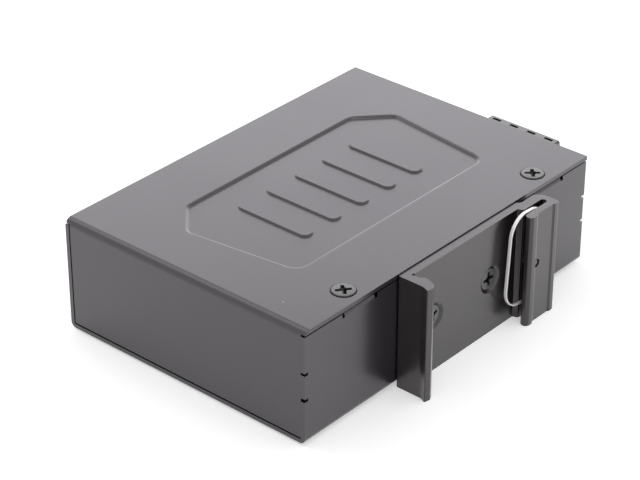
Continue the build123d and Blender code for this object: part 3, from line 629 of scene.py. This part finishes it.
def press_softly(work):
    """Gives the pressed panel's step the soft curve that a press leaves in a sheet.

    The sheet's upper face is cut along lines beside each side of the outline. Each of its
    points then drops by its distance from the outline: first on a wide arc, bending down
    from the flat plate, then on a tighter one into the panel's floor. Both arcs are
    parabolas, and they meet with one slope. The distance from the outline is a soft
    maximum of the distances from its sides' lines, which rounds its corners: the
    logarithm of the sum of their exponentials, over the sharpness. All lengths are in mm,
    and distances count outwards.
    """
    sides = rim_sides(work)
    outer, meet, inner = 0.45, -0.2, -0.6
    depth = 0.6
    sharpness = 2.2
    farthest = 20
    ring_slack = 0.002
    wide_steps, tight_steps = 7, 6
    flat_rings = np.array([outer + 0.3, inner - 0.75])
    corner_room = inner - np.array([0.15, 0.3, 0.45])
    wide_cuts = np.linspace(outer, meet, wide_steps)
    tight_cuts = np.linspace(meet, inner, tight_steps)[1:]
    cuts = np.concatenate([flat_rings, wide_cuts, tight_cuts, corner_room])
    for nx, ny, reach in sides:
        for cut in cuts:
            cut_upright(work, ((reach + cut) * nx * mm, (reach + cut) * ny * mm, 0.0), (nx, ny, 0.0))
    upper = [vert for vert in work.verts if any(looks_up(face) for face in vert.link_faces)]
    places = np.array([tuple(vert.co) for vert in upper]) / mm
    apart = places[:, :2] @ sides[:, :2].T - sides[:, 2]
    beyond = np.log(np.exp(np.clip(apart, -farthest, farthest) * sharpness).sum(axis=1)) / sharpness
    steepest = 2 * depth / (outer - inner)
    wide_arc = steepest / (outer - meet) / 2 * np.clip(outer - beyond, 0.0, None) ** 2
    tight_arc = depth - steepest / (meet - inner) / 2 * np.clip(beyond - inner, 0.0, None) ** 2
    drop = np.where(beyond > meet, wide_arc, tight_arc)
    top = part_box("cover")[1][2] / mm
    moved = (beyond > inner) & (beyond < outer)

    # the heights are worked out above, all at once. Writing them leaves the normals that the
    # faces store, and the joining of faces needs those: fresh ones give the cover other faces
    for vert, lowered in zip(np.array(upper, object)[moved], drop[moved]):
        vert.co.z = (top - lowered) * mm

    # edges on the two flat rings become seams, so that the joining of faces stops at them
    for edge in {edge for vert in upper for edge in vert.link_edges}:
        ends = np.array([tuple(vert.co) for vert in edge.verts]) / mm
        ring = (ends[:, :2] @ sides[:, :2].T - sides[:, 2]).max(axis=1)
        edge.seam = bool((np.abs(ring[:, None] - flat_rings) < ring_slack).all(axis=0).any())
    print("panel sides:", len(sides), "points on its soft step:", int(moved.sum()))


softened("cover", "pressed_cover", "satin_paint", 0.12, 3, shape=press_softly)

# %% [markdown]
# ## Rail clip
# The clip is a length of aluminium extrusion, sawn off, broken at its edges and anodised
# black. The die leaves faint lines along its length.

# %% Rail clip
softened("din_clip", "rail_clip", "black_anodised", 0.12)

# %% [markdown]
# ## Spring ring
# The ring is a strip of spring steel, rolled flat with rounded edges and bent into a long
# loop. Its section is carried along the loop: at each point of the path the section is set
# up on the path's own side direction, so the strip never twists. It is built at rest; when
# a rail pushes its free side, the real loop is squeezed towards the end of the slot.

# %% Section and path helpers
def rounded_loop(width, length, corner, steps):
    """Points of a rounded rectangle about the middle, as one closed loop, and its outward sides.

    Each corner is a quarter circle about a point that lies one corner radius inside both
    sides. The straight sides are the runs between two quarter circles.
    """
    turns = (np.arange(4)[:, None] + np.linspace(0.0, 1.0, steps)[None, :]) * pi / 2
    signs = np.array([(1, 1), (-1, 1), (-1, -1), (1, -1)])
    middles = signs * np.array([width / 2 - corner, length / 2 - corner])
    outward = np.stack([np.cos(turns), np.sin(turns)], axis=-1)
    points = middles[:, None, :] + corner * outward
    return points.reshape(-1, 2), outward.reshape(-1, 2)


def oval_section(thickness, height, power, steps):
    """A flat strip's section with round edges: a circle with both coordinates flattened.

    Each coordinate is half the size times cosine or sine raised to two over the power,
    with its sign kept, so a power of 2 is an ellipse and a higher power is squarer.
    """
    turn = np.linspace(0.0, 2 * pi, steps, endpoint=False)
    across = thickness / 2 * np.sign(np.cos(turn)) * np.abs(np.cos(turn)) ** (2 / power)
    up = height / 2 * np.sign(np.sin(turn)) * np.abs(np.sin(turn)) ** (2 / power)
    return np.stack([across, up], axis=-1)


def grid_faces(rows, columns, close_rows, close_columns):
    """Corner numbers of the quads between neighbouring points of a grid."""
    row = np.arange(rows if close_rows else rows - 1)[:, None]
    column = np.arange(columns if close_columns else columns - 1)[None, :]
    next_row, next_column = (row + 1) % rows, (column + 1) % columns
    corners = [row * columns + column, row * columns + next_column,
               next_row * columns + next_column, next_row * columns + column]
    return np.stack([np.broadcast_to(c, (row.size, column.size)) for c in corners], axis=-1).reshape(-1, 4)


def mesh_of(name, points, quads, sharp=35.0):
    """A mesh of quads whose faces point outwards, smooth except at sharp turns."""
    mesh = bpy.data.meshes.new(name)
    mesh.from_pydata(points.reshape(-1, 3).tolist(), [], quads.tolist())
    reworked(mesh, lambda work: bmesh.ops.recalc_face_normals(work, faces=work.faces))
    mesh.polygons.foreach_set("use_smooth", np.ones(len(mesh.polygons), bool))
    mesh.set_sharp_from_angle(angle=radians(sharp))
    return mesh


def mark_painted_shade(mesh, share):
    """Writes for each point how much painted shade it gets, from nought to one."""
    mesh.attributes.new("painted_shade", "FLOAT", "POINT").data.foreach_set("value", share.astype(np.float32))


# %% Spring ring
ring_low, ring_high = box_of("rail_spring")
ring_tilt = radians(4.0)
ring_corner = 5.2 * mm
ring_stock = 0.35 * mm
ring_length = 23.4 * mm
strip_height = 0.84 * (ring_high[1] - ring_low[1])
strip_power = 3.0
ring_steps = 24
ring_sway = (ring_length / 2 - ring_corner) * np.sin(ring_tilt)
ring_wide = ring_high[0] - ring_low[0] - 2 * ring_sway
loop, sides = rounded_loop(
    ring_wide - ring_stock, ring_length - ring_stock, ring_corner - ring_stock / 2, ring_steps
)
strip = oval_section(ring_stock, strip_height, strip_power, ring_steps)
flat_points = loop[:, None, :] + sides[:, None, :] * strip[None, :, :1]
turn_back = np.array([[np.cos(ring_tilt), -np.sin(ring_tilt)], [np.sin(ring_tilt), np.cos(ring_tilt)]])
flat_points = flat_points @ turn_back
ring_middle = (ring_low + ring_high) / 2
ring_points = np.stack([
    ring_middle[0] + flat_points[..., 0],
    ring_middle[1] + np.broadcast_to(strip[None, :, 1], flat_points.shape[:2]),
    ring_middle[2] + flat_points[..., 1],
], axis=-1)
ring_mesh = mesh_of("spring_ring", ring_points, grid_faces(len(loop), len(strip), True, True), 60.0)
ring = stand_in(ring_mesh, "spring_ring", "rail_spring", "housing", "spring_steel")
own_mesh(ring)
print("ring spans", ((ring_points.reshape(-1, 3).max(0) - ring_points.reshape(-1, 3).min(0)) / mm).round(2))

# %% [markdown]
# ## Pin of the ring
# A pin across the slot keeps the ring in the jaw. It is a cut length of rod, pressed in,
# with a chamfer at each end. Its chamfers and its side get painted shade, so that the flat
# end stands in a painted dark ring of shade. A profile of radius and depth is turned about
# the pin's own line.

# %% Ring pin
pin_low, pin_high = box_of("spring_pin")
pin_radius = (pin_high[0] - pin_low[0]) / 2
pin_chamfer = 0.34 * mm
pin_steps = 40
pin_length = pin_high[1] - pin_low[1]
flat_radius = pin_radius - pin_chamfer
groove_edge = 0.04 * mm
profile = np.array([
    (0.0, 0.0), (flat_radius, 0.0), (flat_radius + groove_edge, groove_edge), (pin_radius, pin_chamfer),
    (pin_radius, pin_length - pin_chamfer), (flat_radius + groove_edge, pin_length - groove_edge),
    (flat_radius, pin_length), (0.0, pin_length),
])
# painted shade on the chamfers and the side, none on the flat ends
pin_painted_shade = np.repeat([0.0, 0.0, 1.0, 1.0, 1.0, 1.0, 0.0, 0.0], pin_steps)
pin_turn = np.linspace(0.0, 2 * pi, pin_steps, endpoint=False)
pin_middle = (pin_low + pin_high) / 2
pin_points = np.stack([
    pin_middle[0] + profile[:, None, 0] * np.cos(pin_turn),
    np.broadcast_to(pin_low[1] + profile[:, None, 1], (len(profile), len(pin_turn))),
    pin_middle[2] + profile[:, None, 0] * np.sin(pin_turn),
], axis=-1)
pin_mesh = mesh_of("ring_pin", pin_points, grid_faces(len(profile), len(pin_turn), False, True), 20.0)
mark_painted_shade(pin_mesh, pin_painted_shade)
reworked(pin_mesh, weld)
stand_in(pin_mesh, "ring_pin", "spring_pin", "housing", "screw_black")
print("pin radius", round(pin_radius / mm, 2), "mm")

# %% [markdown]
# ## Cross-head screws
# A punched cross recess has four wings that narrow and rise outwards, and a round well in
# the middle. The head is a square grid bent into a disc, because then the grid's lines run
# along the wings, and each wing wall lies between two close lines.

# %% Cross-head screws
def eased(value, low, high):
    """Nought below low, one above high, and a smooth climb between them."""
    share = np.clip((value - low) / (high - low), 0.0, 1.0)
    return share * share * (3 - 2 * share)


def screw_surface(head, shank, length, turn):
    """Points of a countersunk screw about +Z, its face at nought, and its quads.

    The disc: x is u times the root of one less half v squared, and y the same with u and
    v exchanged, which carries the square's rim onto the circle. The height is the crown's,
    less the drop of the lip and the depth of the recess. In mm, wing is half a wing's
    width, well the well's radius, arm a wing's reach and deep the depth in the middle.
    From the rim, rings go down the lip, the cone and the shank. The last result is painted
    shade, how dark a point is painted: in the recess, in the gap at the rim, and on all
    that lies below.
    """
    wing, well, arm, deep = 0.43, 0.74, 1.8, 1.35
    narrowing, wall, end_slope, least_share = 0.07, 0.04, 0.2, 0.55
    crown_height, lip_drop, lip_width = 0.05, 0.13, 0.3
    wall_lines = (wing + np.array([-0.1, -0.03, 0.05, 0.12])) / head
    end_lines = (arm + np.array([-0.25, -0.12, 0.0])) / head
    rim_lines = [0.93, 0.955, 0.975, 0.99, 1.0]
    lines = np.concatenate([np.linspace(0, 0.9, 17), wall_lines, end_lines, rim_lines])
    lines = np.unique(np.round(np.concatenate([-lines, lines]), 5))
    u, v = np.meshgrid(lines, lines, indexing="ij")
    x, y = head * u * np.sqrt(1 - v * v / 2), head * v * np.sqrt(1 - u * u / 2)
    near, far = np.minimum(np.abs(x), np.abs(y)), np.maximum(np.abs(x), np.abs(y))
    radius = np.hypot(x, y)
    wing_here = wing - narrowing * far / arm
    in_wing = (1 - eased(near, wing_here - wall, wing_here + wall)) * (1 - eased(far, arm - end_slope, arm))
    wing_depth = deep * (least_share + (1 - least_share) * (1 - far / arm))
    in_well = 1 - eased(radius, well - 0.1, well + 0.1)
    depth = np.maximum(in_wing * wing_depth, in_well * deep)
    crown = crown_height * (1 - (radius / head) ** 2)
    edge = lip_drop * eased(radius, head - lip_width, head) ** 2
    z = crown - crown_height - edge - depth
    count = len(lines)
    top = np.stack([x, y, z], axis=-1).reshape(-1, 3)
    index = np.arange(count * count).reshape(count, count)
    rim = np.concatenate([index[:-1, 0], index[-1, :-1], index[:0:-1, -1], index[0, :0:-1]])
    tip = length + 0.3
    rings = [(head, 0.2), (shank + 0.1, 0.1 + head - shank), (shank, 0.3 + head - shank), (shank, length),
             (shank * 0.6, tip), (0.02, tip)]
    direction = top[rim][:, :2] / np.linalg.norm(top[rim][:, :2], axis=1, keepdims=True)
    skirt = np.stack([
        np.concatenate([direction * r, np.full((len(rim), 1), -z_down)], axis=1) for r, z_down in rings
    ])
    points = np.concatenate([top, skirt.reshape(-1, 3)])
    quads = [grid_faces(count, count, False, False)]
    below = len(top) + np.arange(len(rings) * len(rim)).reshape(len(rings), len(rim))
    loops = np.concatenate([rim[None, :], below])
    following = np.roll(loops, -1, axis=1)
    quads.append(np.stack([loops[:-1], following[:-1], following[1:], loops[1:]], axis=-1).reshape(-1, 4))
    turned = points.copy()
    turned[:, 0] = points[:, 0] * np.cos(turn) - points[:, 1] * np.sin(turn)
    turned[:, 1] = points[:, 0] * np.sin(turn) + points[:, 1] * np.cos(turn)
    # painted shade: the recess and the gap at the rim are painted dark, and all that lies below is fully dark
    in_recess = eased(depth.ravel(), 0.02, 0.3)
    in_rim_gap = eased(radius.ravel(), head - 0.24, head - 0.14)
    painted_shade = np.ones(len(points))
    painted_shade[:len(top)] = np.maximum(in_recess, in_rim_gap)
    return turned * mm, np.concatenate(quads), painted_shade


screw_head, screw_shank, screw_length = 2.68, 1.5, 5.6
screw_turns = {"cover_screw_1": 52.0, "cover_screw_2": 42.0, "clip_screw_1": 20.0, "clip_screw_2": 2.0}
for node, turn in screw_turns.items():
    low, high = box_of(node)
    points, quads, painted_shade = screw_surface(screw_head, screw_shank, screw_length, radians(turn))
    centre = (low + high) / 2
    if node.startswith("cover"):
        placed = points + np.array([centre[0], centre[1], high[2]])
    else:
        placed = np.stack([points[:, 0], -points[:, 2], points[:, 1]], axis=-1)
        placed = placed + np.array([centre[0], low[1], centre[2]])
    mesh = mesh_of(node + "_made", placed, quads, 50.0)
    mark_painted_shade(mesh, painted_shade)
    stand_in(mesh, node + "_made", node, "housing", "screw_black")
print("screws made:", len(screw_turns))

# %% [markdown]
# ## Sockets
# Each socket is a black moulding in a bright shield. Eight gold springs run forward along
# its floor, turn over near the mouth and slope back up, so that a plug presses them down.
# The section of a spring is carried along that path, as the strip of the ring was.

# %% Contact springs
def spring_path(front, back, floor, rise, bend, steps):
    """Forward on the floor, half a circle over, then back on a slope to the full rise."""
    slope = np.arctan2(rise - 2 * bend, front - back)
    arc = np.linspace(-pi / 2, pi / 2 + slope, steps)
    z_top = floor + rise
    y = np.concatenate([
        [back, (front + back) / 2],
        front - bend + bend * np.cos(arc),
        [back + 0.6 * mm, back],
    ])
    z = np.concatenate([
        [floor, floor],
        floor + bend + bend * np.sin(arc),
        [z_top - 0.05 * mm, z_top - 0.3 * mm],
    ])
    return np.stack([y, z], axis=-1)


def carried(path, section):
    """A section carried along a flat path. Its first coordinate lies across the path."""
    ahead = np.gradient(path, axis=0)
    ahead /= np.linalg.norm(ahead, axis=1, keepdims=True)
    across = np.stack([-ahead[:, 1], ahead[:, 0]], axis=-1)
    flat = path[:, None, :] + across[:, None, :] * section[None, :, :1]
    side = np.broadcast_to(section[None, :, 1], flat.shape[:2])
    return np.concatenate([side[..., None], flat], axis=-1)


def close_ends(work):
    """Closes the open ends of tubes with faces that point outwards."""
    bmesh.ops.holes_fill(work, edges=[edge for edge in work.edges if edge.is_boundary], sides=0)
    bmesh.ops.recalc_face_normals(work, faces=work.faces)


contacts = 8
contact_pitch = 1.02 * mm
contact_bend = 0.32 * mm
path_steps = 14
half = 0.12 * mm
wire_width = 0.42 * mm
wire_power = 3.5
wire_steps = 12
wire = oval_section(2 * half, wire_width, wire_power, wire_steps)
for place in range(1, 6):
    low, high = box_of(f"jack_contacts_{place}")
    rise = high[2] - low[2] - 2 * half
    path = spring_path(high[1] - half, low[1] + half, low[2] + half, rise, contact_bend, path_steps)
    one = carried(path, wire)
    centre_x = (low[0] + high[0]) / 2
    shifts = centre_x + (np.arange(contacts) - (contacts - 1) / 2) * contact_pitch
    points = np.stack([one + np.array([shift, 0.0, 0.0]) for shift in shifts])
    tube = grid_faces(len(path), len(wire), False, True)
    per_wire = len(path) * len(wire)
    quads = np.concatenate([tube + per_wire * index for index in range(contacts)])
    mesh = mesh_of(f"contact_springs_{place}", points, quads, 60.0)
    reworked(mesh, close_ends)
    stand_in(mesh, f"contact_springs_{place}", f"jack_contacts_{place}", "housing", "gold_contact")
    softened(f"jack_body_{place}", f"socket_moulding_{place}", "socket_plastic", 0.12)
    softened(f"jack_shield_{place}", f"socket_can_{place}", "socket_shield", 0.05)

# %% [markdown]
# ## Supply terminal and small parts
# The plug and the header are softened copies with the larger rounds that a mould leaves.
# The plug's clamps and screws and the light guides are softened copies too.

# %% Terminal
softened("terminal_plug", "supply_plug", "terminal_plastic", 0.15)
softened("terminal_header", "supply_header", "terminal_plastic", 0.15)
softened("plug_clamps", "wire_clamps", "plated_steel", 0.06)
softened("plug_screws", "clamp_screws", "plated_steel", 0.08)
softened("light_pipe", "light_guides", "clear_plastic", 0.12)

# %% [markdown]
# ## Finishes of the pieces that keep their solids
# The board's components, lamps, screws and standoffs, the header's pins and the nuts
# behind the plates lie inside the closed box, and they keep their solids.

# %% Finishes of the carried-over nodes
node_finishes = {
    "cover_nut_1": "plated_steel",
    "cover_nut_2": "plated_steel",
    "clip_nut_1": "plated_steel",
    "clip_nut_2": "plated_steel",
    "board_standoffs": "plated_steel",
    "board_screws": "plated_steel",
    "circuit_board": "board_green",
    "status_lamps": "lamp_cap",
    "switch_chip": "component_plastic",
    "crystal": "can_metal",
    "power_inductor": "component_plastic",
    "input_fuse": "component_plastic",
    "input_diode": "component_plastic",
    "voltage_regulator": "component_plastic",
    "capacitor_1": "can_metal",
    "capacitor_2": "can_metal",
    "header_pins": "tinned_pin",
}
for place in range(1, 6):
    node_finishes[f"magnetics_{place}"] = "component_plastic"
for node, material in node_finishes.items():
    dress(node, material)
